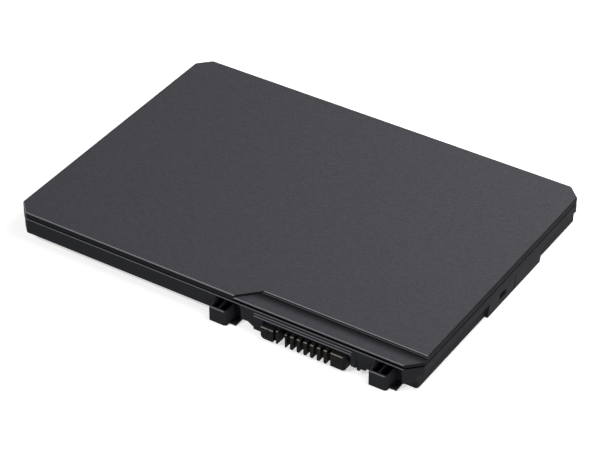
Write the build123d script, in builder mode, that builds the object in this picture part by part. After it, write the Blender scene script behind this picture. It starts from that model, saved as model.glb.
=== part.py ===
from build123d import *
import os
from math import sqrt

# Laptop battery pack. A moulded tray and cover hold three pouch cells in series and their protection board.
# The front long edge carries two hooks and a comb connector, and the right short side a latch block.
# Millimetres. +X runs along the front edge, +Y to the back, +Z up. The origin is the middle of the base.

os.makedirs("parts", exist_ok=True)

# Casing
length = 155.8
width = 111.3
height = 11.6
corner_leg = 4.7
corner_round = 1.2
wall = 1.2
floor = 1.2
cover_thickness = 1.2
cover_side = 2.05
seam_height = 0.45
seam_depth = 0.5
lip_bevel = 0.4
edge_round = 0.6
tongue_depth = 1.5
tongue_wall = 1.0
moulding_clearance = 0.1
edge_tolerance = 0.01

# Shelf: the part of the cover that is lowered above the connector
shelf_drop = 1.0
shelf_depth = 6.5
shelf_lead = 7.7
shelf_round = 0.45
shelf_seam_rise = 0.35
step_tread = 0.55
step_rise = 0.6
step_bevel = 0.2

# Tray: a flange under the cover, a narrower body below it and a skirt along the front
flange_bottom = 5.8
body_inset = 1.7
body_front_inset = 3.7
body_front_round = 1.2
skirt_bottom = 3.25
skirt_wall = 1.4
channel_roof = 1.55

# Hooks on the front edge, each with a flat foot beside it and a notch in the skirt above it
hook_edge = 15.7
hook_spacing = 59.8
hook_width = 6.45
hook_reach = 2.6
hook_top = 5.6
hook_side_rise = 1.8
hook_rib_rise = 0.5
hook_front_wall = 0.7
hook_side_wall = 0.5
hook_rib = 0.4
hook_rib_offset = 2.9
hook_round = 1.1
notch_lead = 0.8
hook_edge_bevel = 0.25
notch_width = 10.5
notch_top = 8.5
notch_round = 1.6
foot_width = 2.5
foot_reach = 0.7
foot_height = 0.6

# Connector comb, from left to right: a low block, a ramp, a thin key fin, a wide slot, the fins with the
# contact slots between them, the first fin as thin as the key fin, and a block
comb_offset = 4.95
contact_count = 7
pitch = 2.5
fin = 1.15
key_fin = 0.6
key_slot = 1.25
wide_slot = 2.15
left_block = 4.55
left_block_top = 5.1
right_block = 5.1
comb_bottom = 0.6
comb_top = 5.75
comb_reach = 1.9
comb_edge_round = 0.5
slot_depth = 2.2
block_round = 1.4
block_end_round = 0.9
block_slit = 0.3
block_slit_offset = 1.6
block_slit_depth = 0.6
block_slit_height = 2.0
ramp_setback = 1.25
ramp_low = 2.3
ramp_high = 3.0
fin_round = 0.4
key_fin_round = 0.2
housing_rear = 3.5
housing_shoulder = 0.5
housing_rear_top = 5.4

# Hood: the stepped arch of the tray around the comb
comb_left_gap = 0.15
comb_right_gap = 1.6
hood_left_leg = 3.45
hood_right_leg = 1.9
hood_opening_top = 6.5
hood_first_top = 7.9
hood_second_top = 7.1
hood_bottom = 1.7
hood_right_bottom = 2.5
hood_first_reach = 0.3
hood_second_reach = 0.6
hood_round = 2.6
hood_bevel = 0.2
opening_round = 1.5
hood_flare = 2.5
lobe_round = 0.6
lobe_steps = ((1.2, 1.3), (3.4, 2.3))

# Spring contacts: a pair of leaves that pinch the mating blade, with a tail to the board
contact_width = 1.0
contact_metal = 0.22
contact_pinch = 0.5
contact_throat = 0.11
contact_bend = 0.9
contact_bottom = 1.6
contact_top = 4.6
contact_setback = 1.0
contact_leaf = 2.8
tail_width = 0.6
contact_clearance = 0.05

# Latch block on the right side
latch_start = -9.3
latch_width = 35.6
latch_draft = 0.5
latch_window_start = 6.9
latch_window_width = 4.45
latch_window_bottom = 2.6
latch_window_top = 5.2
latch_window_depth = 2.2
latch_groove_offset = 17.2
latch_groove_width = 0.5
latch_groove_depth = 0.9
latch_groove_bottom = 1.2
latch_groove_top = 6.3

# Protection board and what is soldered to it
board_thickness = 1.0
board_depth = 11.0
board_gap = 0.5
board_margin = 5.0
board_rest = 2.6
standoff_count = 4
standoff_inset = 4.0
standoff_setback = 2.0
standoff_radius = 1.5
pin_radius = 0.65
pin_clearance = 0.1
chip_setback = 4.6
mosfet_size = (5.0, 4.4, 1.0)
gauge_size = (7.8, 4.4, 1.0)
resistor_size = (6.3, 3.2, 0.6)
fuse_size = (6.0, 4.0, 1.3)
thermistor_size = (1.6, 0.8, 0.8)
capacitor_size = (1.6, 0.8, 0.9)
mosfet_spacing = 8.0
mosfet_inset = 14.0
resistor_inset = 34.0
fuse_inset = 16.0
gauge_at = -8.0
thermistor_at = 6.0
capacitor_count = 4
capacitor_at = -18.0
capacitor_spacing = 1.8

# Cells, their tape and foam, and the nickel strips
cell_count = 3
cell_gap = 1.0
cell_corner = 3.0
cell_round = 0.8
tape_thickness = 0.2
foam_thickness = 1.0
pad_margin = 5.0
terrace_depth = 2.0
terrace_thickness = 0.6
terrace_margin = 4.0
tab_run = 4.0
tab_offset = 14.0
tab_width = 6.0
tab_metal = 0.2
tab_lead = 0.5
strip_depth = 3.0
strip_metal = 0.15
strip_inset = 0.6
strip_overhang = 1.0
rib_thickness = 0.6
rib_height = 2.5

# Places worked out from the sizes above
side = length / 2
front = -width / 2
back = width / 2
shelf_level = height - shelf_drop
cover_underside = height - cover_thickness
beyond = 2 * corner_leg
hook_starts = (side - hook_edge - hook_spacing, side - hook_edge)
shelf_start = hook_starts[0] + shelf_lead
body_side = side - body_inset
body_front = front + body_front_inset
cavity_inset = body_inset + wall
cavity_front = body_front + wall
cavity_side = side - cavity_inset
parting = height - cover_side
channel_top = parting - channel_roof
lip_level = parting - seam_height

slots_left = left_block + key_slot + key_fin + wide_slot
fins_span = (contact_count - 1) * pitch + fin
comb_width = slots_left + fins_span + pitch - fin + right_block
comb_left = sum(hook_starts) / 2 + comb_offset - comb_width / 2
comb_right = comb_left + comb_width
fin_starts = [comb_left + slots_left + k * pitch for k in range(contact_count)]
contact_places = [start + (pitch + fin) / 2 for start in fin_starts]
comb_front = front - comb_reach
slot_back = comb_front + slot_depth
opening_left = comb_left - comb_left_gap
opening_right = comb_right + comb_right_gap
hood_left = opening_left - hood_left_leg
hood_right = opening_right + hood_right_leg

window_start = latch_start + latch_window_start
groove_at = latch_start + latch_groove_offset

housing_back = cavity_front + housing_rear
board_front = housing_back + board_gap
board_back = board_front + board_depth
board_top = board_rest + board_thickness
board_length = 2 * (cavity_side - board_margin)
standoff_row = board_front + standoff_setback
standoff_spacing = (board_length - 2 * standoff_inset) / (standoff_count - 1)
chip_row = board_front + chip_setback

cell_front = board_back + tab_run
cell_back = back - cavity_inset - cell_gap
cell_depth = cell_back - cell_front
cell_width = (2 * cavity_side - (cell_count + 1) * cell_gap) / cell_count
cell_pitch = cell_width + cell_gap
cell_bottom = floor + tape_thickness
cell_top = cover_underside - foam_thickness
cell_thickness = cell_top - cell_bottom
cell_middle = (cell_bottom + cell_top) / 2
cell_row = (cell_front + cell_back) / 2
cell_places = [(k - (cell_count - 1) / 2) * cell_pitch for k in range(cell_count)]
terrace_front = cell_front - terrace_depth
strip_back = board_back - strip_inset
strip_front = strip_back - strip_depth
strip_top = board_top + strip_metal

front_plane = Plane.XZ.offset(-front)


def outline(inset=0.0, front_inset=None, mode=Mode.ADD):
    """Draws the casing's outline with cut corners, brought in by an inset, which may differ at the front."""
    if front_inset is None:
        front_inset = inset
    leg = corner_leg - inset * (2 - sqrt(2))
    x = side - inset
    low = front + front_inset
    high = back - inset
    right_half = [(x - leg, low), (x, low + leg), (x, high - leg), (x - leg, high)]
    left_half = [(-px, py) for px, py in reversed(right_half)]
    Polygon(*right_half, *left_half, mode=mode)


def soft_outline():
    """Draws the casing's outline with its corners eased, as the outer faces have them."""
    outline()
    fillet(vertices(), corner_round)


def shelf_area(setback=0.0, end_setback=0.0, mode=Mode.ADD):
    """Draws the shelf, carried past the casing's edges, with its step and its slanted end moved back."""
    start = shelf_start - end_setback * sqrt(2)
    step = shelf_depth + setback
    Polygon(
        (start - beyond, front - beyond),
        (start + step, front + step),
        (side + beyond, front + step),
        (side + beyond, front - beyond),
        mode=mode,
    )


def block(low, high, mode=Mode.ADD):
    """Adds or cuts the box between two opposite corners."""
    size = [b - a for a, b in zip(low, high)]
    middle = tuple((a + b) / 2 for a, b in zip(low, high))
    with Locations(middle):
        Box(*size, mode=mode)


def arch(left, right, bottom, top, radius):
    """Draws a square arch on the front plane, with its top right corner rounded."""
    Polygon((left, bottom), (right, bottom), (right, top), (left, top))
    fillet(vertices().group_by(Axis.X)[-1].sort_by(Axis.Y)[-1:], radius)


def save(piece, name):
    """Labels a finished piece and writes it."""
    piece.part.label = name
    export_step(piece.part, f"parts/{name}.step")


# Top cover: a rounded plate with the shelf cut into it behind a narrow tread, hollow below, with a tongue
# that enters the tray
with BuildPart() as top_cover:
    with BuildSketch(Plane.XY.offset(parting)):
        soft_outline()
    extrude(amount=height - parting)
    fillet(top_cover.edges().group_by(Axis.Z)[-1], edge_round)
    with BuildSketch(Plane.XY.offset(shelf_level)):
        shelf_area()
    extrude(amount=height, mode=Mode.SUBTRACT)
    with BuildSketch(Plane.XY.offset(height - step_rise)):
        shelf_area(step_tread)
    extrude(amount=height, mode=Mode.SUBTRACT)
    with BuildSketch(Plane.XY.offset(height - step_bevel)):
        shelf_area(step_tread)
    with BuildSketch(Plane.XY.offset(height)):
        shelf_area(step_tread + step_bevel)
    loft(mode=Mode.SUBTRACT)
    shelf_edges = top_cover.edges().filter_by(
        lambda e: abs(e.center().Z - shelf_level) < edge_tolerance
        and e.center().Y < front + shelf_depth - shelf_round
        and e.center().X - (e.center().Y - front) > shelf_start + shelf_round
    )
    fillet(shelf_edges, shelf_round)
    with BuildSketch(Plane.XY.offset(parting)):
        outline(wall, cavity_front - front)
        shelf_area(cover_thickness, cover_thickness, mode=Mode.SUBTRACT)
    extrude(amount=cover_underside - parting, mode=Mode.SUBTRACT)
    block(
        (shelf_start, front, parting),
        (side - corner_leg, front + seam_depth, parting + shelf_seam_rise),
        mode=Mode.SUBTRACT,
    )
    tongue_inset = wall + moulding_clearance
    tongue_front = cavity_front - front + moulding_clearance
    with BuildSketch(Plane.XY.offset(parting - tongue_depth)):
        outline(tongue_inset, tongue_front)
        outline(tongue_inset + tongue_wall, tongue_front + tongue_wall, mode=Mode.SUBTRACT)
    extrude(amount=cover_underside - parting + tongue_depth)
save(top_cover, "top_cover")

# Tray: flange, body, front skirt, hooks, connector hood, latch block, standoffs and cell ribs in one moulding
with BuildPart() as tray:
    with BuildSketch(Plane.XY.offset(flange_bottom)):
        soft_outline()
    extrude(amount=lip_level - flange_bottom)
    chamfer(tray.edges().group_by(Axis.Z)[-1], lip_bevel)
    with BuildSketch(Plane.XY.offset(lip_level)):
        outline(seam_depth)
    extrude(amount=seam_height)
    with BuildSketch(Plane.XY.offset(skirt_bottom)):
        soft_outline()
        outline(skirt_wall, mode=Mode.SUBTRACT)
        with Locations((0, front)):
            Rectangle(2 * body_side, 2 * (corner_leg - body_inset), mode=Mode.INTERSECT)
    extrude(amount=flange_bottom - skirt_bottom)
    for inner, outer in ((body_side - skirt_wall, body_side), (-body_side, skirt_wall - body_side)):
        block(
            (inner, front + corner_leg - body_inset, skirt_bottom),
            (outer, body_front + body_front_round, flange_bottom),
        )
    with BuildSketch(Plane.XY):
        Polygon(
            (body_side, body_front),
            (body_side, back - corner_leg + body_inset),
            (side - corner_leg + body_inset, back - body_inset),
            (corner_leg - body_inset - side, back - body_inset),
            (-body_side, back - corner_leg + body_inset),
            (-body_side, body_front),
        )
        fillet(vertices().group_by(Axis.Y)[0], body_front_round)
    extrude(amount=flange_bottom)
    block(
        (corner_leg - side, front + skirt_wall, flange_bottom),
        (side - corner_leg, body_front, channel_top),
        mode=Mode.SUBTRACT,
    )

    # Inside of the tray, wider above the flange
    with BuildSketch(Plane.XY.offset(floor)):
        outline(cavity_inset, cavity_front - front)
    extrude(amount=height, mode=Mode.SUBTRACT)
    with BuildSketch(Plane.XY.offset(flange_bottom + wall)):
        outline(wall, cavity_front - front)
    extrude(amount=height, mode=Mode.SUBTRACT)

    # Skirt around the connector: a flare down to the hood on its left and two lobes on its right
    with BuildSketch(front_plane):
        Polygon(
            (hood_left - hood_flare, skirt_bottom),
            (hood_left, hood_bottom),
            (hood_left, flange_bottom),
            (hood_left - hood_flare, flange_bottom),
        )
    extrude(amount=-skirt_wall)
    for lobe_reach, lobe_bottom in lobe_steps:
        with BuildSketch(front_plane):
            Polygon(
                (hood_right - hood_bevel, lobe_bottom),
                (hood_right + lobe_reach, lobe_bottom),
                (hood_right + lobe_reach, flange_bottom),
                (hood_right - hood_bevel, flange_bottom),
            )
            fillet(vertices().group_by(Axis.Y)[0], lobe_round)
        extrude(amount=-skirt_wall)
    for top, reach in ((hood_first_top, hood_first_reach), (hood_second_top, hood_second_reach)):
        with BuildSketch(front_plane.offset(reach)):
            arch(hood_left, hood_right, hood_bottom, top, hood_round)
        extrude(amount=-reach - skirt_wall)
        ledge_edges = tray.edges().filter_by(
            lambda e: abs(e.center().Y - (front - reach)) < edge_tolerance and e.center().Z > top - hood_round
        )
        chamfer(ledge_edges, hood_bevel)
    with BuildSketch(front_plane.offset(comb_reach)):
        arch(opening_left, opening_right, -hood_bottom, hood_opening_top, opening_round)
    extrude(amount=-comb_reach - body_front_inset, mode=Mode.SUBTRACT)
    block(
        (opening_right - hood_bevel, front - hood_second_reach, 0),
        (hood_right, front + skirt_wall, hood_right_bottom),
        mode=Mode.SUBTRACT,
    )
    housing_left = comb_left + housing_shoulder
    housing_right = comb_right - housing_shoulder
    block(
        (housing_left - moulding_clearance, body_front, floor),
        (housing_right + moulding_clearance, cavity_front, housing_rear_top + moulding_clearance),
        mode=Mode.SUBTRACT,
    )

    # Hooks: a front and a right wall on a floor, with two ribs behind the front, under a notch in the skirt
    for start in hook_starts:
        with BuildSketch(front_plane):
            arch(start + notch_lead, start + notch_width, skirt_bottom - wall, notch_top, notch_round)
        extrude(amount=-body_front_inset, mode=Mode.SUBTRACT)
        hook_end = start + hook_width
        pocket_front = front - hook_reach + hook_front_wall
        with BuildPart(mode=Mode.PRIVATE) as hook_walls:
            with BuildSketch(Plane.XY):
                Polygon(
                    (start, front - hook_reach),
                    (hook_end, front - hook_reach),
                    (hook_end, body_front),
                    (hook_end - hook_side_wall, body_front),
                    (hook_end - hook_side_wall, pocket_front),
                    (start, pocket_front),
                )
                fillet(vertices().group_by(Axis.Y)[0].sort_by(Axis.X)[-1:], hook_round)
            extrude(amount=hook_top)
            chamfer(hook_walls.edges().group_by(Axis.Z)[-1].sort_by(Axis.Y)[:1], hook_edge_bevel)
        add(hook_walls.part)
        block((start, pocket_front, 0), (hook_end, body_front, floor))
        hook_ribs = (
            (start, hook_side_wall, hook_side_rise),
            (start + hook_rib_offset, hook_rib, hook_rib_rise),
        )
        for rib_left, thickness, rise in hook_ribs:
            with BuildSketch(Plane.YZ.offset(rib_left)):
                Polygon(
                    (pocket_front, 0),
                    (body_front, 0),
                    (body_front, hook_top + rise),
                    (pocket_front, hook_top),
                )
            extrude(amount=thickness)
        block((hook_end, front - foot_reach, 0), (hook_end + foot_width, body_front, foot_height))

    # Latch block, drafted in from the flange, with its window and groove
    with BuildSketch(Plane.XZ.offset(-latch_start)):
        Polygon(
            (side - cavity_inset, 0),
            (side - latch_draft, 0),
            (side, flange_bottom),
            (side - cavity_inset, flange_bottom),
        )
    extrude(amount=-latch_width)
    block(
        (side - latch_window_depth, window_start, latch_window_bottom),
        (side, window_start + latch_window_width, latch_window_top),
        mode=Mode.SUBTRACT,
    )
    block(
        (side - latch_groove_depth, groove_at, latch_groove_bottom),
        (side, groove_at + latch_groove_width, latch_groove_top),
        mode=Mode.SUBTRACT,
    )

    # Standoffs with locating pins for the board, and ribs between the cells
    with Locations((0, standoff_row, floor)):
        with GridLocations(standoff_spacing, 0, standoff_count, 1):
            Cylinder(standoff_radius, board_rest - floor, align=(Align.CENTER, Align.CENTER, Align.MIN))
            Cylinder(pin_radius, board_top - floor, align=(Align.CENTER, Align.CENTER, Align.MIN))
    for place in cell_places[1:]:
        rib_left = place - cell_pitch / 2 - rib_thickness / 2
        block(
            (rib_left, cell_front, floor),
            (rib_left + rib_thickness, cell_back, floor + rib_height),
        )
save(tray, "tray")

# Connector housing: the comb in front, and a rear body that passes through the tray's front wall
with BuildPart() as connector_housing:
    comb_back = body_front - moulding_clearance
    slots_start = comb_left + left_block
    block((comb_left, slot_back, comb_bottom), (comb_right - right_block, comb_back, comb_top))
    block((housing_left, comb_back, floor), (housing_right, housing_back, housing_rear_top))
    with BuildSketch(Plane.XY.offset(comb_bottom)):
        Polygon(
            (comb_right - right_block, comb_front),
            (comb_right, comb_front),
            (comb_right, comb_back),
            (comb_right - right_block, comb_back),
        )
        fillet(vertices().group_by(Axis.Y)[0].sort_by(Axis.X)[-1:], block_end_round)
    extrude(amount=comb_top - comb_bottom)
    with BuildSketch(front_plane.offset(comb_reach)):
        Polygon(
            (comb_left, comb_bottom),
            (slots_start, comb_bottom),
            (slots_start, left_block_top),
            (comb_left, left_block_top),
        )
        fillet(vertices().group_by(Axis.X)[0].sort_by(Axis.Y)[:1], block_round)
    extrude(amount=-slot_depth)
    key_start = slots_start + key_slot
    first_start = fin_starts[0] + fin - key_fin
    fin_spans = [(start, key_fin, key_fin_round) for start in (key_start, first_start)]
    fin_spans += [(start, fin, fin_round) for start in fin_starts[1:]]
    for start, thickness, radius in fin_spans:
        with BuildSketch(front_plane.offset(comb_reach)):
            with Locations((start + thickness / 2, (comb_bottom + comb_top) / 2)):
                Rectangle(thickness, comb_top - comb_bottom)
            fillet(vertices().group_by(Axis.Y)[0], radius)
        extrude(amount=-slot_depth)
    with BuildSketch(Plane.YZ.offset(slots_start)):
        Polygon(
            (comb_front + ramp_setback, comb_bottom),
            (slot_back, comb_bottom),
            (slot_back, ramp_high),
            (comb_front + ramp_setback, ramp_low),
        )
    extrude(amount=key_slot)
    top_edges = connector_housing.edges().filter_by(
        lambda e: min(abs(e.center().Z - comb_top), abs(e.center().Z - left_block_top)) < edge_tolerance
    )
    front_edges = top_edges.filter_by(lambda e: abs(e.center().Y - comb_front) < edge_tolerance)
    fillet(front_edges + top_edges.filter_by(GeomType.CIRCLE), comb_edge_round)
    slit_right = slots_start - block_slit_offset
    block(
        (slit_right - block_slit, comb_front, left_block_top - block_slit_height),
        (slit_right, comb_front + block_slit_depth, left_block_top),
        mode=Mode.SUBTRACT,
    )
    block(
        (key_start + key_fin, slot_back, comb_bottom),
        (first_start, comb_back, comb_top),
        mode=Mode.SUBTRACT,
    )
    web_back = comb_front + contact_setback + contact_leaf
    for place in contact_places:
        half = contact_width / 2 + contact_clearance
        tail_half = tail_width / 2 + contact_clearance
        block(
            (place - half, slot_back, contact_bottom - contact_clearance),
            (place + half, web_back + contact_clearance, contact_top + contact_clearance),
            mode=Mode.SUBTRACT,
        )
        block(
            (place - tail_half, web_back, board_top - contact_clearance),
            (place + tail_half, housing_back, board_top + contact_metal + contact_clearance),
            mode=Mode.SUBTRACT,
        )
save(connector_housing, "connector_housing")

# Contacts: two leaves folded from one strip, pinched near their tips, with a tail on the board
tip = comb_front + contact_setback
throat = tip + contact_pinch
shoulder = throat + contact_bend
outer = contact_width / 2
inner = outer - contact_metal
right_leaf = [
    (outer, web_back),
    (outer, shoulder),
    (contact_throat + contact_metal, throat),
    (outer, tip),
    (inner, tip),
    (contact_throat, throat),
    (inner, shoulder),
    (inner, web_back - contact_metal),
]
left_leaf = [(-x, y) for x, y in reversed(right_leaf)]
for number, place in enumerate(contact_places, start=1):
    with BuildPart() as contact:
        with BuildSketch(Plane((place, 0, contact_bottom))):
            Polygon(*right_leaf, *left_leaf)
        extrude(amount=contact_top - contact_bottom)
        block(
            (place - tail_width / 2, web_back - contact_metal, board_top),
            (place + tail_width / 2, board_front + standoff_setback, board_top + contact_metal),
        )
    save(contact, f"contact_{number}")

# Protection board, held on the standoffs by their pins
with BuildPart() as protection_board:
    block((-board_length / 2, board_front, board_rest), (board_length / 2, board_back, board_top))
    with Locations((0, standoff_row, board_top)):
        with GridLocations(standoff_spacing, 0, standoff_count, 1):
            Hole(pin_radius + pin_clearance, depth=board_thickness)
save(protection_board, "protection_board")

# Parts soldered to the board
board_end = board_length / 2
chips = {
    "discharge_mosfet": (mosfet_inset - board_end, mosfet_size),
    "charge_mosfet": (mosfet_inset + mosfet_spacing - board_end, mosfet_size),
    "sense_resistor": (resistor_inset - board_end, resistor_size),
    "fuel_gauge_chip": (gauge_at, gauge_size),
    "thermistor": (thermistor_at, thermistor_size),
    "pack_fuse": (board_end - fuse_inset, fuse_size),
}
for number in range(capacitor_count):
    chips[f"capacitor_{number + 1}"] = (capacitor_at - number * capacitor_spacing, capacitor_size)
for name, (place, size) in chips.items():
    with BuildPart() as chip:
        with Locations((place, chip_row, board_top)):
            Box(*size, align=(Align.CENTER, Align.CENTER, Align.MIN))
    save(chip, name)

# Cells: soft-edged pouches with a sealed terrace at the front, on tape and under foam
for number, place in enumerate(cell_places, start=1):
    with BuildPart() as cell:
        with BuildSketch(Plane((place, cell_row, cell_bottom))):
            RectangleRounded(cell_width, cell_depth, cell_corner)
        extrude(amount=cell_thickness)
        fillet(cell.edges().group_by(Axis.Z)[0] + cell.edges().group_by(Axis.Z)[-1], cell_round)
        terrace_half = cell_width / 2 - terrace_margin
        block(
            (place - terrace_half, terrace_front, cell_middle - terrace_thickness / 2),
            (place + terrace_half, cell_front, cell_middle + terrace_thickness / 2),
        )
    save(cell, f"cell_{number}")
    pad_width = cell_width - 2 * pad_margin
    pad_depth = cell_depth - 2 * pad_margin
    with BuildPart() as cell_tape:
        with BuildSketch(Plane((place, cell_row, floor))):
            Rectangle(pad_width, pad_depth)
        extrude(amount=tape_thickness)
    save(cell_tape, f"cell_tape_{number}")
    with BuildPart() as foam_pad:
        with BuildSketch(Plane((place, cell_row, cell_top))):
            Rectangle(pad_width, pad_depth)
        extrude(amount=foam_thickness)
    save(foam_pad, f"foam_pad_{number}")

# Cell tabs, bent down from the terraces to the nickel strips on the board
tab_low = cell_middle - tab_metal / 2
tab_under = [
    (terrace_front, tab_low),
    (terrace_front - tab_lead, tab_low),
    (strip_back, strip_top),
    (strip_front, strip_top),
]
tab_over = [(y, z + tab_metal) for y, z in reversed(tab_under)]
poles = (("negative", -tab_offset), ("positive", tab_offset))
for number, place in enumerate(cell_places, start=1):
    for pole, shift in poles:
        with BuildPart() as tab:
            with BuildSketch(Plane.YZ.offset(place + shift - tab_width / 2)):
                Polygon(*tab_under, *tab_over)
            extrude(amount=tab_width)
        save(tab, f"cell_{number}_tab_{pole}")

# Nickel strips: a link from each cell to the next, and a lead at each end of the string
strips = {
    "pack_lead_negative": (cell_places[0] - tab_offset, cell_places[0] - tab_offset),
    "pack_lead_positive": (cell_places[-1] + tab_offset, cell_places[-1] + tab_offset),
}
for number in range(1, cell_count):
    ends = (cell_places[number - 1] + tab_offset, cell_places[number] - tab_offset)
    strips[f"link_{number}_{number + 1}"] = ends
for name, (first, last) in strips.items():
    with BuildPart() as strip:
        reach = tab_width / 2 + strip_overhang
        block((first - reach, strip_front, board_top), (last + reach, strip_back, strip_top))
    save(strip, name)
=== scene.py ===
# %% [markdown]
# # A laptop battery pack
# The pack's shape comes finished from CAD: two moulded shells, a comb connector and everything inside.
# This lesson gives each surface its real finish, adds the small details that CAD leaves out, such as
# welds, solder and chip leads, and sets up a white studio with the camera of the photograph.

# %% Load the fixed frame
import bmesh
import bpy
import math
from collections import namedtuple
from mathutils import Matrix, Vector


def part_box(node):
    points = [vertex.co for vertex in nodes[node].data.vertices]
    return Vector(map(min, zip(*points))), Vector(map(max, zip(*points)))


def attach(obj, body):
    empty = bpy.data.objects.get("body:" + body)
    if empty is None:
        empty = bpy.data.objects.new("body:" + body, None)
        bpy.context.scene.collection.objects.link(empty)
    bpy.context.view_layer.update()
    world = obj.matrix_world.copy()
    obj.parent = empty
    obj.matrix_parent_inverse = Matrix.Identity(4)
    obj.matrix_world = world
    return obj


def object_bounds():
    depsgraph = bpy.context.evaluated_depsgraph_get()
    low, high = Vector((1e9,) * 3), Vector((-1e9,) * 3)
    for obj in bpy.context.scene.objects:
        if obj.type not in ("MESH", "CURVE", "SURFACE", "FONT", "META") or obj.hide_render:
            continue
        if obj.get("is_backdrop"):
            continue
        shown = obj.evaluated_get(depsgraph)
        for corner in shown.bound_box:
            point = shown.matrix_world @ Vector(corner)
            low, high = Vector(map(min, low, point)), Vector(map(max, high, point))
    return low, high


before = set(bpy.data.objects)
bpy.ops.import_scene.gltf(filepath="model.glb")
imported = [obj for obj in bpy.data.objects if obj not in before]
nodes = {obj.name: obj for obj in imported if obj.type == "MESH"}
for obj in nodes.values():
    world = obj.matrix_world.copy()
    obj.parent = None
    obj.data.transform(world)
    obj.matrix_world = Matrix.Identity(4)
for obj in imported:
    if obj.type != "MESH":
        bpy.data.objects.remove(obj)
cad_low, cad_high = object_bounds()
mm = 0.001
print("CAD box in mm:", [round(side / mm, 1) for side in cad_high - cad_low], "nodes:", len(nodes))

# %% [markdown]
# ## Helpers for every material
# Blender's shaders work in linear light, but colours are usually written as sRGB hex values, as a paint
# or plastic supplier lists them. One function converts them, so that no colour is written in linear
# numbers. Another adds a node, and takes its values and its links in one place, so that a material reads
# from top to bottom like a recipe. A Mix node has a socket of the same name for each kind of value, so
# its colour sockets go by number, and the numbers get names here. The last two functions start an empty
# material and give a finished one to CAD nodes.

# %% Colours, nodes and materials
mix_share, mix_from, mix_to, mix_result = 0, 6, 7, 2


def srgb(code):
    """Turns a hex colour such as 3a3b3f into linear red, green, blue and alpha."""
    channels = [int(code[k:k + 2], 16) / 255 for k in (0, 2, 4)]
    linear = [c / 12.92 if c <= 0.04045 else ((c + 0.055) / 1.055) ** 2.4 for c in channels]
    return (*linear, 1.0)


def add(tree, kind, inputs=(), **settings):
    """Adds a node. A setting is set on the node, an input is a value or the socket that feeds it."""
    node = tree.nodes.new(kind)
    for name, value in settings.items():
        setattr(node, name, value)
    for name, value in dict(inputs).items():
        if isinstance(value, bpy.types.NodeSocket):
            tree.links.new(value, node.inputs[name])
        else:
            node.inputs[name].default_value = value
    return node


def start_material(name):
    """Makes a material with an empty node tree that holds only its Object coordinates."""
    material = bpy.data.materials.new(name)
    material.use_nodes = True
    tree = material.node_tree
    tree.nodes.clear()
    coordinates = add(tree, "ShaderNodeTexCoord")
    return material, tree, coordinates


def wear(node_names, material):
    """Gives CAD nodes a material in place of the plain one that they came with."""
    for name in node_names:
        nodes[name].data.materials.clear()
        nodes[name].data.materials.append(material)
    print(material.name, "on", len(node_names), "nodes")


# %% [markdown]
# ## The cover: grained PC and ABS
# The lid is moulded from a dark grey blend of polycarbonate and ABS. The mould's top face was spark
# eroded, which leaves a fine leathery grain. The plain sides are painted darker than the grained top, as
# painted shade. Hands rub the front edges smooth, and they are painted pale, as a painted highlight. The
# object's own normal tells these three zones apart: it points up on the grained face, sideways on the plain
# sides, and in between on the edges, of which only those that look to the front get the painted highlight.
# A painted shade in the seam and a painted shadow below the step are placed by height and depth instead.

# %% Cover plastic
grain_width = 0.7
grain_depth = 0.24
mid_noise = 0.5
mottle_width = 1.6
grained_roughness = 0.5
rubbed_roughness = 0.12
grain_hollow = "3e3f45"
grain_peak = "4a4b51"
# painted shade: the plain sides of the lid are painted darker than its top
painted_shade_side = "242528"
# painted highlight: the front edges are painted this pale grey
painted_edge_highlight = "88898e"
# painted shadow: the shelf next to the step is painted this dark
painted_step_shadow = "202124"
# painted shade: the seam between lid and tray is painted near black
painted_seam_shade = "080808"

looks_up = (0.8, 0.97)
leaves_upright = (0.3, 0.6)
looks_forward = (-0.1, -0.4)
looks_right = (0.3, 0.1)

parting = 9.55
cover_seam_fade = 0.05
shelf_level = 10.6
shelf_fade = (0.2, 0.1)
step_line = -49.15
step_shadow_reach = 4.0


def zones(tree, coordinates):
    """Returns two masks from the normal: how far a face looks up, and whether it is a front edge with a
    painted highlight.
    """
    split = add(tree, "ShaderNodeSeparateXYZ", {"Vector": coordinates.outputs["Normal"]})
    upward, rising, forward = (
        add(tree, "ShaderNodeMapRange", {"Value": split.outputs[axis], "From Min": start, "From Max": end})
        for axis, (start, end) in (("Z", looks_up), ("Z", leaves_upright), ("Y", looks_forward))
    )
    facing = add(
        tree,
        "ShaderNodeMapRange",
        {
            "Value": split.outputs["X"],
            "From Min": looks_right[0],
            "From Max": looks_right[1],
            "To Max": forward.outputs["Result"],
        },
    )
    edge = add(
        tree,
        "ShaderNodeMath",
        {0: rising.outputs["Result"], 1: upward.outputs["Result"]},
        operation="SUBTRACT",
        use_clamp=True,
    )
    front_edge_highlight = add(
        tree,
        "ShaderNodeMath",
        {0: edge.outputs["Value"], 1: facing.outputs["Result"]},
        operation="MULTIPLY",
    )
    return upward.outputs["Result"], front_edge_highlight.outputs["Value"]


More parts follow.
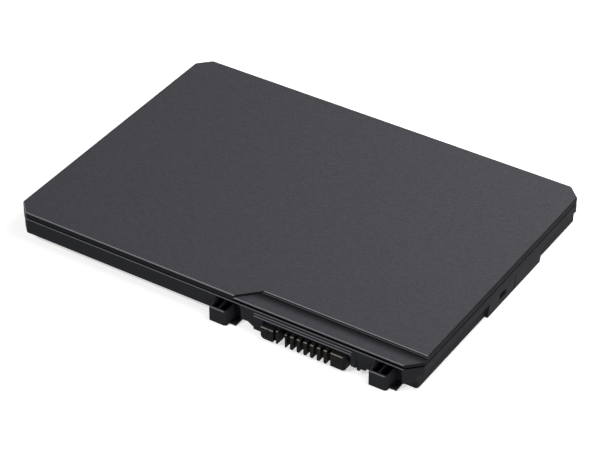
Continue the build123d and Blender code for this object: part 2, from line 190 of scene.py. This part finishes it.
def grained_pc_abs():
    """Dark grey PC and ABS, spark eroded: grained top, painted shade on sides and seam, painted shadow on
    the shelf, painted highlight on front edges.
    """
    material, tree, coordinates = start_material("grained_pc_abs_moulded")
    upward, front_edge_highlight = zones(tree, coordinates)
    place = coordinates.outputs["Object"]
    mottle = add(
        tree,
        "ShaderNodeTexNoise",
        {"Vector": place, "Scale": 1 / (mottle_width * mm), "Detail": 4.0},
    )
    top = add(
        tree,
        "ShaderNodeMix",
        {mix_share: mottle.outputs["Fac"], mix_from: srgb(grain_hollow), mix_to: srgb(grain_peak)},
        data_type="RGBA",
    )
    # painted shade: faces that don't look up take the darker side colour
    colour = add(
        tree,
        "ShaderNodeMix",
        {mix_share: upward, mix_from: srgb(painted_shade_side), mix_to: top.outputs[mix_result]},
        data_type="RGBA",
    )
    # painted highlight: front edges are painted pale
    highlighted = add(
        tree,
        "ShaderNodeMix",
        {mix_share: front_edge_highlight, mix_from: colour.outputs[mix_result], mix_to: srgb(painted_edge_highlight)},
        data_type="RGBA",
    )
    split = add(tree, "ShaderNodeSeparateXYZ", {"Vector": place})
    # painted shade: the lid is painted near black at and below the parting line
    seam = add(
        tree,
        "ShaderNodeMapRange",
        {
            "Value": split.outputs["Z"],
            "From Min": parting * mm,
            "From Max": (parting - cover_seam_fade) * mm,
        },
    )
    low = add(
        tree,
        "ShaderNodeMapRange",
        {
            "Value": split.outputs["Z"],
            "From Min": (shelf_level + shelf_fade[0]) * mm,
            "From Max": (shelf_level + shelf_fade[1]) * mm,
            "To Max": upward,
        },
    )
    # painted shadow: upward faces of the shelf are painted darker towards the step
    corner = add(
        tree,
        "ShaderNodeMapRange",
        {
            "Value": split.outputs["Y"],
            "From Min": (step_line - step_shadow_reach) * mm,
            "From Max": step_line * mm,
            "To Max": low.outputs["Result"],
        },
        interpolation_type="SMOOTHSTEP",
    )
    step_shadowed = add(
        tree,
        "ShaderNodeMix",
        {mix_share: corner.outputs["Result"], mix_from: highlighted.outputs[mix_result], mix_to: srgb(painted_step_shadow)},
        data_type="RGBA",
    )
    seam_shaded = add(
        tree,
        "ShaderNodeMix",
        {mix_share: seam.outputs["Result"], mix_from: step_shadowed.outputs[mix_result], mix_to: srgb(painted_seam_shade)},
        data_type="RGBA",
    )
    grain = add(
        tree,
        "ShaderNodeTexNoise",
        {"Vector": place, "Scale": 1 / (grain_width * mm), "Detail": 3.0, "Roughness": 0.6},
    )
    centred = add(tree, "ShaderNodeMath", {0: grain.outputs["Fac"], 1: mid_noise}, operation="SUBTRACT")
    height = add(
        tree, "ShaderNodeMath", {0: centred.outputs["Value"], 1: upward}, operation="MULTIPLY"
    )
    bump = add(
        tree,
        "ShaderNodeBump",
        {"Height": height.outputs["Value"], "Distance": grain_depth * mm, "Strength": 1.0},
    )
    polish = add(
        tree,
        "ShaderNodeMapRange",
        {"Value": front_edge_highlight, "To Min": grained_roughness, "To Max": rubbed_roughness},
    )
    shader = add(
        tree,
        "ShaderNodeBsdfPrincipled",
        {
            "Base Color": seam_shaded.outputs[mix_result],
            "Roughness": polish.outputs["Result"],
            "Specular IOR Level": 0.01,
            "IOR": 1.55,
            "Normal": bump.outputs["Normal"],
        },
    )
    add(tree, "ShaderNodeOutputMaterial", {"Surface": shader.outputs["BSDF"]})
    return material


cover_plastic = grained_pc_abs()
wear(["top_cover"], cover_plastic)

# %% [markdown]
# ## The tray: satin ABS
# The lower shell is plain ABS from a simpler tool. It has a faint satin break-up and a darker colour,
# painted shade in the seam below the lid, and front lips and ledges with a painted highlight like the
# lid's.

# %% Tray plastic
satin_width = 0.5
satin_depth = 0.012
seam_level = 8.93
tray_seam_fade = 0.06


def satin_plastic(name, colour, sheen_colour, edge_highlight_colour, roughness, edge_roughness, specular):
    """Dark plastic from a satin tool: a faint break-up of the gloss, painted shade in the seam, painted
    highlight on front edges.
    """
    material, tree, coordinates = start_material(name)
    front_edge_highlight = zones(tree, coordinates)[1]
    place = add(tree, "ShaderNodeSeparateXYZ", {"Vector": coordinates.outputs["Object"]})
    # painted shade: the tray is painted near black above the seam level
    seam = add(
        tree,
        "ShaderNodeMapRange",
        {
            "Value": place.outputs["Z"],
            "From Min": (seam_level - tray_seam_fade) * mm,
            "From Max": seam_level * mm,
        },
    )
    satin = add(
        tree,
        "ShaderNodeTexNoise",
        {"Vector": coordinates.outputs["Object"], "Scale": 1 / (satin_width * mm), "Detail": 2.0},
    )
    shade = add(
        tree,
        "ShaderNodeMix",
        {mix_share: satin.outputs["Fac"], mix_from: srgb(colour), mix_to: srgb(sheen_colour)},
        data_type="RGBA",
    )
    bump = add(
        tree,
        "ShaderNodeBump",
        {"Height": satin.outputs["Fac"], "Distance": satin_depth * mm, "Strength": 1.0},
    )
    polish = add(
        tree,
        "ShaderNodeMapRange",
        {"Value": front_edge_highlight, "To Min": roughness, "To Max": edge_roughness},
    )
    # painted highlight: front lips and ledges are painted in the pale edge colour
    highlighted = add(
        tree,
        "ShaderNodeMix",
        {mix_share: front_edge_highlight, mix_from: shade.outputs[mix_result], mix_to: srgb(edge_highlight_colour)},
        data_type="RGBA",
    )
    seam_shaded = add(
        tree,
        "ShaderNodeMix",
        {mix_share: seam.outputs["Result"], mix_from: highlighted.outputs[mix_result], mix_to: srgb(painted_seam_shade)},
        data_type="RGBA",
    )
    dull = add(
        tree,
        "ShaderNodeMath",
        {0: polish.outputs["Result"], 1: seam.outputs["Result"]},
        operation="MAXIMUM",
    )
    shader = add(
        tree,
        "ShaderNodeBsdfPrincipled",
        {
            "Base Color": seam_shaded.outputs[mix_result],
            "Roughness": dull.outputs["Value"],
            "Specular IOR Level": specular,
            "IOR": 1.54,
            "Normal": bump.outputs["Normal"],
        },
    )
    add(tree, "ShaderNodeOutputMaterial", {"Surface": shader.outputs["BSDF"]})
    return material


# painted highlight: the third colour paints the tray's front lips and ledges pale
tray_plastic = satin_plastic(
    "satin_abs_moulded", "2a2b2f", "323337", "717277", roughness=0.5, edge_roughness=0.3, specular=0.008
)
wear(["tray"], tray_plastic)

# %% [markdown]
# ## The connector: glass filled PBT
# Connector bodies are moulded from PBT with glass fibre, which stays straight near a soldering iron. It
# is a little glossier than the shells, and the front edges of the comb's fins carry small painted
# highlights.

# %% Connector plastic
# painted highlight: the third colour paints the fins' front edges pale
connector_plastic = satin_plastic(
    "glass_filled_pbt_moulded",
    "1f1e1e",
    "282727",
    "8a8a88",
    roughness=0.4,
    edge_roughness=0.22,
    specular=0.02,
)
wear(["connector_housing"], connector_plastic)

# %% [markdown]
# ## The metals: rolled, stamped and tinned
# Contacts, strips, tabs and leads all start as rolled sheet, and the rolls leave fine lines along it. One
# recipe stretches a noise along the sheet for those lines, and lets them drive both colour and roughness.
# The phosphor bronze of the contacts has dulled in air, so in the dark slots it shows only as a brown
# tint.

# %% Rolled metals
roll_line = 0.15
roll_stretch = (0.1, 0.1, 1.0)


def rolled_metal(name, dark, light, smooth, rough):
    """Rolled sheet metal: fine lines that change its colour and its gloss together."""
    material, tree, coordinates = start_material(name)
    stretch = add(
        tree,
        "ShaderNodeMapping",
        {"Vector": coordinates.outputs["Object"], "Scale": roll_stretch},
    )
    lines = add(
        tree,
        "ShaderNodeTexNoise",
        {"Vector": stretch.outputs["Vector"], "Scale": 1 / (roll_line * mm), "Detail": 3.0},
    )
    colour = add(
        tree,
        "ShaderNodeMix",
        {mix_share: lines.outputs["Fac"], mix_from: srgb(dark), mix_to: srgb(light)},
        data_type="RGBA",
    )
    gloss = add(
        tree, "ShaderNodeMapRange", {"Value": lines.outputs["Fac"], "To Min": smooth, "To Max": rough}
    )
    shader = add(
        tree,
        "ShaderNodeBsdfPrincipled",
        {"Base Color": colour.outputs[mix_result], "Metallic": 1.0, "Roughness": gloss.outputs["Result"]},
    )
    add(tree, "ShaderNodeOutputMaterial", {"Surface": shader.outputs["BSDF"]})
    return material


def named(*words):
    """Lists the CAD nodes whose names start with one of the words."""
    return [name for name in nodes if name.startswith(words)]


bronze = rolled_metal("phosphor_bronze_stamped", "2e2822", "4a4035", smooth=0.3, rough=0.5)
wear(named("contact_"), bronze)
nickel = rolled_metal("nickel_strip_rolled", "a8a498", "c9c5ba", smooth=0.25, rough=0.4)
wear(named("link_", "pack_lead_"), nickel)
aluminium = rolled_metal("aluminium_tab_rolled", "b9bbbd", "d6d7d8", smooth=0.3, rough=0.45)
tabs = [name for name in nodes if "_tab_" in name]
wear(tabs, aluminium)

# %% [markdown]
# ## The cells: pressed aluminium laminate
# Each cell is a pouch of aluminium foil between plastic films. The press that closes it leaves shallow
# dents and creases. A broad noise as bump bends the reflections as the creases do, which is lighter than
# modelling them, and the same noise paints the foil a little darker in its hollows, as painted shade.

# %% Pouch foil
crease_width = 7.0
crease_depth = 0.3


def pressed_foil():
    """Aluminium laminate pressed round a cell: soft silver and creased, painted a little darker in the
    hollows as painted shade.
    """
    material, tree, coordinates = start_material("aluminium_laminate_pressed")
    crease = add(
        tree,
        "ShaderNodeTexNoise",
        {"Vector": coordinates.outputs["Object"], "Scale": 1 / (crease_width * mm), "Detail": 5.0},
    )
    # painted shade: where the crease noise is low, in the hollows, the foil is painted darker
    colour = add(
        tree,
        "ShaderNodeMix",
        {mix_share: crease.outputs["Fac"], mix_from: srgb("9a9da1"), mix_to: srgb("c6c8cb")},
        data_type="RGBA",
    )
    bump = add(
        tree,
        "ShaderNodeBump",
        {"Height": crease.outputs["Fac"], "Distance": crease_depth * mm, "Strength": 1.0},
    )
    shader = add(
        tree,
        "ShaderNodeBsdfPrincipled",
        {
            "Base Color": colour.outputs[mix_result],
            "Metallic": 0.9,
            "Roughness": 0.38,
            "Normal": bump.outputs["Normal"],
        },
    )
    add(tree, "ShaderNodeOutputMaterial", {"Surface": shader.outputs["BSDF"]})
    return material


wear([f"cell_{number}" for number in (1, 2, 3)], pressed_foil())

# %% [markdown]
# ## Small solids: epoxy, ceramic and tape
# Chips are moulded in black epoxy with ground quartz in it, fuses and capacitors are fired ceramic, and
# the cells sit on acrylic tape. All of them are plain solids with a grain of their own size, so one
# recipe takes the two colours, the grain's width and depth in millimetres, and the roughness.

# %% Grainy solids
def grainy_solid(name, dark, light, grain, depth, roughness):
    """A plain filled solid: two close colours and a shallow grain of the same size."""
    material, tree, coordinates = start_material(name)
    speck = add(
        tree,
        "ShaderNodeTexNoise",
        {"Vector": coordinates.outputs["Object"], "Scale": 1 / (grain * mm), "Detail": 3.0},
    )
    colour = add(
        tree,
        "ShaderNodeMix",
        {mix_share: speck.outputs["Fac"], mix_from: srgb(dark), mix_to: srgb(light)},
        data_type="RGBA",
    )
    bump = add(
        tree,
        "ShaderNodeBump",
        {"Height": speck.outputs["Fac"], "Distance": depth * mm, "Strength": 1.0},
    )
    shader = add(
        tree,
        "ShaderNodeBsdfPrincipled",
        {
            "Base Color": colour.outputs[mix_result],
            "Roughness": roughness,
            "Normal": bump.outputs["Normal"],
        },
    )
    add(tree, "ShaderNodeOutputMaterial", {"Surface": shader.outputs["BSDF"]})
    return material


black_parts = ["fuel_gauge_chip", "charge_mosfet", "discharge_mosfet", "sense_resistor", "thermistor"]
epoxy = grainy_solid(
    "quartz_filled_epoxy_moulded", "161617", "29292a", grain=0.12, depth=0.01, roughness=0.6
)
wear(black_parts, epoxy)
glaze = grainy_solid("alumina_ceramic_glazed", "dad8d0", "efeee9", grain=0.6, depth=0.004, roughness=0.25)
wear(["pack_fuse"], glaze)
titanate = grainy_solid("titanate_ceramic_fired", "8a6a47", "a98b66", grain=0.1, depth=0.01, roughness=0.5)
wear(named("capacitor_"), titanate)
tape = grainy_solid("acrylic_tape_coated", "cbc6b6", "e2dfd3", grain=1.5, depth=0.03, roughness=0.55)
wear(named("cell_tape_"), tape)

# %% [markdown]
# ## The foam pads: open cell polyurethane
# Foam is a crowd of bubbles cut open. A Voronoi texture gives each bubble a centre, and the distance from
# it makes both the hollow, painted dark as painted shade, and the paler wall between two bubbles.

# %% Foam
bubble_width = 0.6
bubble_depth = 0.3


def open_cell_foam():
    """Black polyurethane foam: round hollows painted dark as painted shade, between paler walls."""
    material, tree, coordinates = start_material("polyurethane_foam_cut")
    bubble = add(
        tree,
        "ShaderNodeTexVoronoi",
        {"Vector": coordinates.outputs["Object"], "Scale": 1 / (bubble_width * mm)},
    )
    # painted shade: the bubble hollows are painted near black
    colour = add(
        tree,
        "ShaderNodeMix",
        {mix_share: bubble.outputs["Distance"], mix_from: srgb("0c0c0c"), mix_to: srgb("3a3a3a")},
        data_type="RGBA",
    )
    bump = add(
        tree,
        "ShaderNodeBump",
        {"Height": bubble.outputs["Distance"], "Distance": bubble_depth * mm, "Strength": 1.0},
    )
    shader = add(
        tree,
        "ShaderNodeBsdfPrincipled",
        {"Base Color": colour.outputs[mix_result], "Roughness": 0.95, "Normal": bump.outputs["Normal"]},
    )
    add(tree, "ShaderNodeOutputMaterial", {"Surface": shader.outputs["BSDF"]})
    return material


wear(named("foam_pad_"), open_cell_foam())

# %% [markdown]
# ## The protection board: laminate under solder mask
# The board is woven glass in epoxy. Green solder mask covers it, and where copper runs below, the mask
# looks paler and stands a little proud. A brick pattern's joints make a plausible run of tracks, and a
# fine checker stands for the weave.

# %% Board
track_pitch = 1.6
track_height = 0.03
weave_pitch = 0.45


def solder_masked_board():
    """Glass laminate under green mask: paler raised tracks over a fine weave."""
    material, tree, coordinates = start_material("glass_laminate_solder_masked")
    place = coordinates.outputs["Object"]
    tracks = add(
        tree,
        "ShaderNodeTexBrick",
        {
            "Vector": place,
            "Scale": 1 / (track_pitch * mm),
            "Brick Width": 6.0,
            "Row Height": 0.55,
            "Mortar Size": 0.09,
            "Mortar Smooth": 0.2,
        },
        offset=0.37,
        offset_frequency=3,
        squash=0.55,
        squash_frequency=3,
    )
    weave = add(tree, "ShaderNodeTexChecker", {"Vector": place, "Scale": 1 / (weave_pitch * mm)})
    laminate = add(
        tree,
        "ShaderNodeMix",
        {mix_share: weave.outputs["Fac"], mix_from: srgb("164a2b"), mix_to: srgb("1a5231")},
        data_type="RGBA",
    )
    colour = add(
        tree,
        "ShaderNodeMix",
        {mix_share: tracks.outputs["Fac"], mix_from: laminate.outputs[mix_result], mix_to: srgb("2f7d4c")},
        data_type="RGBA",
    )
    bump = add(
        tree,
        "ShaderNodeBump",
        {"Height": tracks.outputs["Fac"], "Distance": track_height * mm, "Strength": 1.0},
    )
    shader = add(
        tree,
        "ShaderNodeBsdfPrincipled",
        {"Base Color": colour.outputs[mix_result], "Roughness": 0.3, "Normal": bump.outputs["Normal"]},
    )
    add(tree, "ShaderNodeOutputMaterial", {"Surface": shader.outputs["BSDF"]})
    return material


wear(["protection_board"], solder_masked_board())

# %% [markdown]
# ## Details that repeat: leads, end caps, solder and welds
# The chips' leads, the caps on the ends of small parts, the solder on the contact tails and the spot
# welds all repeat on straight grids, so one Geometry Nodes tree makes them all. It puts a small part on
# each point of a grid, varies the size a little with a fixed seed, and joins the result to what came
# before. Several copies of the tree on one object then make one piece.

# %% The grid tree
grid_inputs = (
    ("Geometry", "NodeSocketGeometry"),
    ("Part", "NodeSocketObject"),
    ("Columns", "NodeSocketInt"),
    ("Rows", "NodeSocketInt"),
    ("Column Step", "NodeSocketFloat"),
    ("Row Step", "NodeSocketFloat"),
    ("Centre", "NodeSocketVector"),
    ("Turn", "NodeSocketFloat"),
    ("Spread", "NodeSocketFloat"),
    ("Seed", "NodeSocketInt"),
    ("Finish", "NodeSocketMaterial"),
)
random_low, random_high, random_value = 2, 3, 1


def grid_of_parts():
    """Builds the tree: a small part on each point of a grid, each a little different, all made real."""
    tree = bpy.data.node_groups.new("grid_of_parts", "GeometryNodeTree")
    for name, kind in grid_inputs:
        tree.interface.new_socket(name, in_out="INPUT", socket_type=kind)
    tree.interface.new_socket("Geometry", in_out="OUTPUT", socket_type="NodeSocketGeometry")
    given = add(tree, "NodeGroupInput").outputs
    sides = []
    for count, step in (("Columns", "Column Step"), ("Rows", "Row Step")):
        gaps = add(tree, "ShaderNodeMath", {0: given[count], 1: 1.0}, operation="SUBTRACT")
        side = add(tree, "ShaderNodeMath", {0: gaps.outputs["Value"], 1: given[step]}, operation="MULTIPLY")
        sides.append(side.outputs["Value"])
    grid = add(
        tree,
        "GeometryNodeMeshGrid",
        {
            "Size X": sides[0],
            "Size Y": sides[1],
            "Vertices X": given["Columns"],
            "Vertices Y": given["Rows"],
        },
    )
    smallest = add(tree, "ShaderNodeMath", {0: 1.0, 1: given["Spread"]}, operation="SUBTRACT")
    largest = add(tree, "ShaderNodeMath", {0: 1.0, 1: given["Spread"]}, operation="ADD")
    sizes = add(
        tree,
        "FunctionNodeRandomValue",
        {
            random_low: smallest.outputs["Value"],
            random_high: largest.outputs["Value"],
            "Seed": given["Seed"],
        },
        data_type="FLOAT",
    )
    part = add(tree, "GeometryNodeObjectInfo", {"Object": given["Part"]})
    copies = add(
        tree,
        "GeometryNodeInstanceOnPoints",
        {
            "Points": grid.outputs["Mesh"],
            "Instance": part.outputs["Geometry"],
            "Scale": sizes.outputs[random_value],
        },
    )
    turn = add(tree, "ShaderNodeCombineXYZ", {"Z": given["Turn"]})
    placed = add(
        tree,
        "GeometryNodeTransform",
        {
            "Geometry": copies.outputs["Instances"],
            "Translation": given["Centre"],
            "Rotation": turn.outputs["Vector"],
        },
    )
    real = add(tree, "GeometryNodeRealizeInstances", {"Geometry": placed.outputs["Geometry"]})
    finished = add(
        tree,
        "GeometryNodeSetMaterial",
        {"Geometry": real.outputs["Geometry"], "Material": given["Finish"]},
    )
    joined = add(tree, "GeometryNodeJoinGeometry", {"Geometry": given["Geometry"]})
    tree.links.new(finished.outputs["Geometry"], joined.inputs["Geometry"])
    add(tree, "NodeGroupOutput", {"Geometry": joined.outputs["Geometry"]})
    return tree


grid_tree = grid_of_parts()
print(grid_tree.name, "with", len(grid_tree.nodes), "nodes")

# %% [markdown]
# ## Making a piece from grids
# Each small part is drawn once as a mesh in millimetres round its own foot. A piece is then a list of
# grids of it, each a single row of equal parts unless it says otherwise. The tree's inputs are set before
# Blender first evaluates the object, the result is turned into a plain mesh, and the small part that was
# copied is thrown away.

# %% Piece from grids
Grid = namedtuple("Grid", "part columns steps centre rows turn spread", defaults=(1, 0.0, 0.0))


def small_part(name, form):
    """Turns a bmesh that is drawn in millimetres into an object for the grids to copy."""
    mesh = bpy.data.meshes.new(name)
    bmesh.ops.recalc_face_normals(form, faces=form.faces)
    bmesh.ops.scale(form, vec=(mm, mm, mm), verts=form.verts)
    form.to_mesh(mesh)
    form.free()
    part = bpy.data.objects.new(name, mesh)
    bpy.context.scene.collection.objects.link(part)
    return part


def piece_of_grids(name, grids, finish):
    """Makes one piece from grids of small parts, with one finish, and attaches it to the root body."""
    piece = bpy.data.objects.new(name, bpy.data.meshes.new(name))
    bpy.context.scene.collection.objects.link(piece)
    for seed, grid in enumerate(grids):
        layer = piece.modifiers.new(f"grid_{seed}", "NODES")
        layer.node_group = grid_tree
        values = {
            "Part": grid.part,
            "Columns": grid.columns,
            "Rows": grid.rows,
            "Column Step": grid.steps[0] * mm,
            "Row Step": grid.steps[1] * mm,
            "Centre": grid.centre,
            "Turn": grid.turn,
            "Spread": grid.spread,
            "Seed": seed,
            "Finish": finish,
        }
        for item in grid_tree.interface.items_tree:
            if item.in_out == "INPUT" and item.name in values:
                layer[item.identifier] = values[item.name]
    seen = piece.evaluated_get(bpy.context.evaluated_depsgraph_get())
    piece.data = bpy.data.meshes.new_from_object(seen)
    piece.modifiers.clear()
    for part in {grid.part for grid in grids}:
        bpy.data.objects.remove(part)
    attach(piece, "root")
    print(name, "from", len(grids), "grids,", len(piece.data.polygons), "faces")


def top_middle(name):
    """The middle of a CAD node's top face, in metres."""
    low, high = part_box(name)
    return Vector(((low.x + high.x) / 2, (low.y + high.y) / 2, high.z))


# %% [markdown]
# ## Chip leads
# The chips stand on gull wing leads: out of the body, down, and flat on a pad. The wing is a bent profile
# pushed out to the width of the lead, copied in a row along the front and, turned round, along the back.

# %% Gull wing leads
wing = (
    (0, 0.42), (-0.15, 0.42), (-0.3, 0.1), (-0.55, 0.1),
    (-0.55, 0), (-0.25, 0), (-0.1, 0.32), (0, 0.32),
)
lead_width = 0.3
lead_rows = {"fuel_gauge_chip": (10, 0.65), "charge_mosfet": (4, 1.27), "discharge_mosfet": (4, 1.27)}


def gull_wing():
    """The bent profile of one lead, pushed out along X to its width."""
    form = bmesh.new()
    outline = [form.verts.new((-lead_width / 2, y, z)) for y, z in wing]
    side = form.faces.new(outline)
    pushed = bmesh.ops.extrude_face_region(form, geom=[side])
    moved = [item for item in pushed["geom"] if isinstance(item, bmesh.types.BMVert)]
    bmesh.ops.translate(form, verts=moved, vec=(lead_width, 0, 0))
    return form


lead = small_part("gull_wing", gull_wing())
lead_grids = []
for chip, (count, pitch) in lead_rows.items():
    low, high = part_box(chip)
    for edge_y, turn in ((low.y, 0.0), (high.y, math.pi)):
        foot = Vector(((low.x + high.x) / 2, edge_y, low.z))
        lead_grids.append(Grid(lead, count, (pitch, 0), foot, turn=turn))
tinned = rolled_metal("copper_lead_tinned", "b4b4b2", "d3d3d1", smooth=0.25, rough=0.4)
piece_of_grids("chip_leads", lead_grids, tinned)

# %% [markdown]
# ## End caps
# Surface mounted resistors, capacitors and fuses carry a plated cap on each end. A cap is a block a hair
# larger than the part's own section, with its edges bevelled, and each part gets two of its own size.

# %% Plated end caps
caps_per_part = 2
cap_share = 0.2
cap_wrap = 0.03
cap_bevel = 0.05


def end_cap(length, depth, rise):
    """A bevelled block that stands on the board and wraps one end of a part."""
    form = bmesh.new()
    bmesh.ops.create_cube(form, size=1.0)
    bmesh.ops.scale(form, vec=(length, depth, rise), verts=form.verts)
    bmesh.ops.translate(form, vec=(0, 0, rise / 2), verts=form.verts)
    bmesh.ops.bevel(form, geom=form.edges, offset=cap_bevel, segments=2, affect="EDGES", profile=0.5)
    return form


cap_grids = []
for name in named("capacitor_", "thermistor", "sense_resistor", "pack_fuse"):
    low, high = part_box(name)
    size = (high - low) / mm
    length = size.x * cap_share
    cap = small_part(f"{name}_cap", end_cap(length, size.y + 2 * cap_wrap, size.z + cap_wrap))
    foot = Vector(((low.x + high.x) / 2, (low.y + high.y) / 2, low.z))
    cap_grids.append(Grid(cap, caps_per_part, (size.x - length + 2 * cap_wrap, 0), foot))
plated = rolled_metal("nickel_cap_plated", "aeaca6", "cfcdc7", smooth=0.3, rough=0.5)
piece_of_grids("end_caps", cap_grids, plated)

# %% [markdown]
# ## Solder and welds
# Molten solder pulls itself into a low dome on each contact tail. A spot weld leaves a flatter mark,
# where two electrodes pressed the tab onto the strip. Both are flattened domes of a few dozen faces, with
# sizes that vary a little.

# %% Domes of solder and weld marks
dome_turns = 12
dome_rings = 8
waist_slack = 0.01
solder_size = (0.55, 0.8, 0.34)
solder_spread = 0.08
tail_setback = 0.5
weld_size = (0.45, 0.45, 0.08)
weld_columns = 3
weld_rows = 2
weld_steps = (1.7, 1.3)
weld_spread = 0.12
tab_thickness = 0.2


def dome(size):
    """The upper half of a flattened ball, closed below."""
    form = bmesh.new()
    bmesh.ops.create_uvsphere(form, u_segments=dome_turns, v_segments=dome_rings, radius=1.0)
    lower = [vertex for vertex in form.verts if vertex.co.z < -waist_slack]
    bmesh.ops.delete(form, geom=lower, context="VERTS")
    bmesh.ops.holes_fill(form, edges=[line for line in form.edges if line.is_boundary])
    bmesh.ops.scale(form, vec=size, verts=form.verts)
    return form


tails = named("contact_")
tail_pitch = (top_middle(tails[1]).x - top_middle(tails[0]).x) / mm
tail_row = Vector((
    sum(top_middle(tail).x for tail in tails) / len(tails),
    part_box(tails[0])[1].y - tail_setback * mm,
    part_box("protection_board")[1].z,
))
solder = small_part("solder_dome", dome(solder_size))
solder_grids = [Grid(solder, len(tails), (tail_pitch, 0), tail_row, spread=solder_spread)]
solder_finish = rolled_metal("tin_solder_reflowed", "b8babc", "dcdddd", smooth=0.12, rough=0.25)
piece_of_grids("tail_solder", solder_grids, solder_finish)

weld = small_part("weld_mark", dome(weld_size))
strip_low, strip_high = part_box("link_1_2")
strip_middle = (strip_low.y + strip_high.y) / 2
weld_grids = []
for tab in tabs:
    foot = Vector((top_middle(tab).x, strip_middle, strip_high.z + tab_thickness * mm))
    weld_grids.append(Grid(weld, weld_columns, weld_steps, foot, rows=weld_rows, spread=weld_spread))
weld_finish = rolled_metal("aluminium_weld_pressed", "8f8d89", "b7b5b0", smooth=0.35, rough=0.55)
piece_of_grids("spot_welds", weld_grids, weld_finish)

# %% [markdown]
# ## The camera
# The photograph was taken from the right of the connector's edge and well above it, with a long lens from
# about 0.8 m away, so that parallel edges stay almost parallel.

# %% Camera
scene = bpy.context.scene
camera_azimuth = math.radians(32.57)
camera_elevation = math.radians(36.38)
camera_distance = 801.9 * mm
camera_aim = Vector((7.76, -12.51, 11.6)) * mm


def direction(azimuth, elevation):
    """The unit vector towards a place round the object: azimuth 0 is in front, 90 on the right."""
    flat = math.cos(elevation)
    return Vector((math.sin(azimuth) * flat, -math.cos(azimuth) * flat, math.sin(elevation)))


def aim(item, place, target):
    """Puts a camera or a lamp at a place and turns it to a target."""
    item.location = place
    item.rotation_euler = (target - place).to_track_quat("-Z", "Y").to_euler()


camera = bpy.data.objects.new("camera", bpy.data.cameras.new("camera"))
scene.collection.objects.link(camera)
camera.data.sensor_width = 36.0
camera.data.lens = 145.5
aim(camera, camera_aim + direction(camera_azimuth, camera_elevation) * camera_distance, camera_aim)
scene.camera = camera
print("camera at", [round(c, 3) for c in camera.location])

# %% [markdown]
# ## The studio
# Two lamps face each other across the pack. A small one in front on the left draws the bright lines along
# the front edges, together with the painted highlight on them, and a low one behind lets the step throw a
# soft shadow on the shelf, deepened by the painted shadow there. A near lamp over the right end makes the
# lid paler there, and a weak low fill keeps the right side from going black.

# %% Softboxes
middle = (cad_low + cad_high) / 2


def softbox(name, azimuth, elevation, distance, size, watts, colour):
    """Adds a square soft lamp that looks at the middle of the pack."""
    data = bpy.data.lights.new(name, "AREA")
    data.size = size
    data.energy = watts
    data.color = srgb(colour)[:3]
    lamp = bpy.data.objects.new(name, data)
    scene.collection.objects.link(lamp)
    aim(lamp, middle + direction(math.radians(azimuth), math.radians(elevation)) * distance, middle)
    print(name, watts, "W at", [round(c, 2) for c in lamp.location])


softbox(
    "front_left_softbox", azimuth=-36, elevation=43, distance=1.2, size=0.08, watts=5.6, colour="ffffff"
)
softbox(
    "rear_right_softbox", azimuth=168, elevation=16, distance=0.45, size=0.2, watts=2.4, colour="fffaf4"
)
softbox(
    "front_right_fill", azimuth=62, elevation=8, distance=0.9, size=0.3, watts=1.5, colour="ffffff"
)
softbox(
    "overhead_softbox", azimuth=92, elevation=60, distance=0.277, size=0.16, watts=0.4, colour="fffaf4"
)

# %% [markdown]
# ## White surroundings and a floor that keeps the shadow
# The world lights the pack only a little, but the camera and mirror-like rays see it as plain white. The
# floor is pale, and the same rays see it lifted to white, so only the pack's soft shadow shows on it.

# %% World and floor
ambient = 0.12
floor_size = 4.0
floor_lift = 0.6
floor_gap = 0.1


def seen_directly(tree):
    """Returns 1 for rays that show the background: from the camera, off a mirror or through glass."""
    path = add(tree, "ShaderNodeLightPath")
    mirrored = add(
        tree,
        "ShaderNodeMath",
        {0: path.outputs["Is Glossy Ray"], 1: path.outputs["Is Transmission Ray"]},
        operation="MAXIMUM",
    )
    seen = add(
        tree,
        "ShaderNodeMath",
        {0: path.outputs["Is Camera Ray"], 1: mirrored.outputs["Value"]},
        operation="MAXIMUM",
    )
    return seen.outputs["Value"]


world = bpy.data.worlds.new("white_studio")
scene.world = world
world.use_nodes = True
world.node_tree.nodes.clear()
strength = add(
    world.node_tree,
    "ShaderNodeMapRange",
    {"Value": seen_directly(world.node_tree), "To Min": ambient, "To Max": 1.0},
)
background = add(
    world.node_tree,
    "ShaderNodeBackground",
    {"Color": (1.0, 1.0, 1.0, 1.0), "Strength": strength.outputs["Result"]},
)
add(world.node_tree, "ShaderNodeOutputWorld", {"Surface": background.outputs["Background"]})

floor_material, floor_tree, _ = start_material("pale_paper_backdrop")
paper = add(floor_tree, "ShaderNodeBsdfDiffuse", {"Color": srgb("e4e4e4")})
lift = add(
    floor_tree,
    "ShaderNodeMath",
    {0: seen_directly(floor_tree), 1: floor_lift},
    operation="MULTIPLY",
)
glow = add(floor_tree, "ShaderNodeEmission", {"Strength": lift.outputs["Value"]})
both = add(floor_tree, "ShaderNodeAddShader", {0: paper.outputs["BSDF"], 1: glow.outputs["Emission"]})
add(floor_tree, "ShaderNodeOutputMaterial", {"Surface": both.outputs["Shader"]})

half = floor_size / 2
floor_level = cad_low.z - floor_gap * mm
floor_mesh = bpy.data.meshes.new("floor")
corners = [(x * half, y * half, floor_level) for x, y in ((-1, -1), (1, -1), (1, 1), (-1, 1))]
floor_mesh.from_pydata(corners, [], [(0, 1, 2, 3)])
floor_mesh.materials.append(floor_material)
floor = bpy.data.objects.new("floor", floor_mesh)
scene.collection.objects.link(floor)
floor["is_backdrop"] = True
scene.view_settings.view_transform = "Standard"

# %% [markdown]
# ## The size of the dressed pack
# The dressed pack has to stay inside the CAD box, so its box is printed here in millimetres, like the CAD
# box at the start.

# %% Sizes
low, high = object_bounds()
print("visual box in mm:", [round(side / mm, 1) for side in high - low])
